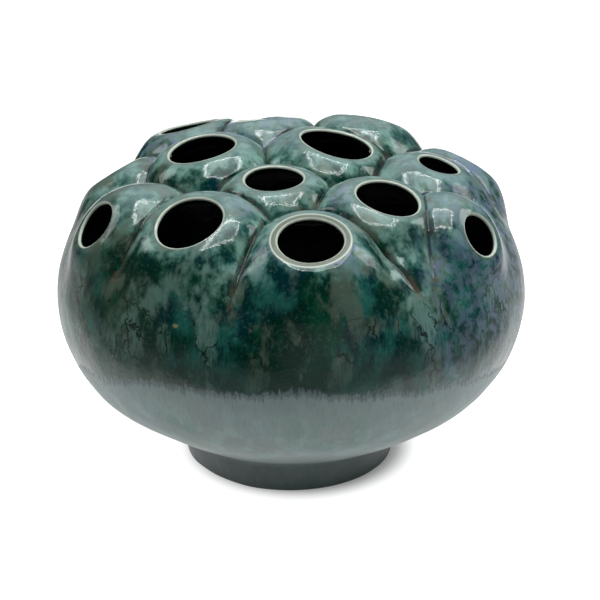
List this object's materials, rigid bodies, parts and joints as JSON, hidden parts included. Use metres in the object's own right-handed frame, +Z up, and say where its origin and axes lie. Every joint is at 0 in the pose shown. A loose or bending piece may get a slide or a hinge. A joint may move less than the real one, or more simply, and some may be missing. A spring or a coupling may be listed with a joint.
{
  "type": "flower frog vase",
  "caption": "Squat round glazed stoneware flower frog: a wide bowl on a short foot, its domed crown a cluster of hollow pods with round stem mouths over one water reservoir.",
  "frame": {"origin": "centre of the foot's resting face, on the table", "axes": "+Z up along the bowl's axis, -Y towards the side seen from the front, +X to that side's right"},
  "size_m": [0.22, 0.22, 0.1534],
  "materials": {
    "pod_glaze": "glossy mottled dark teal and green glaze",
    "bowl_glaze": "satin grey-blue glaze with soft mottling below the widest line, glossy dark green glaze with runs above it",
    "foot_glaze": "satin dark grey-teal glaze"
  },
  "bodies": {
    "root": {"foot": "foot_glaze", "bowl": "bowl_glaze", "crown_pod_1": "pod_glaze", "crown_pod_2": "pod_glaze", "crown_pod_3": "pod_glaze", "crown_pod_4": "pod_glaze", "crown_pod_5": "pod_glaze", "crown_pod_6": "pod_glaze", "ring_pod_1": "pod_glaze", "ring_pod_2": "pod_glaze", "ring_pod_3": "pod_glaze", "ring_pod_4": "pod_glaze", "shoulder_pod_1": "pod_glaze", "shoulder_pod_2": "pod_glaze", "shoulder_pod_3": "pod_glaze", "shoulder_pod_4": "pod_glaze", "shoulder_pod_5": "pod_glaze"}
  },
  "joints": []
}
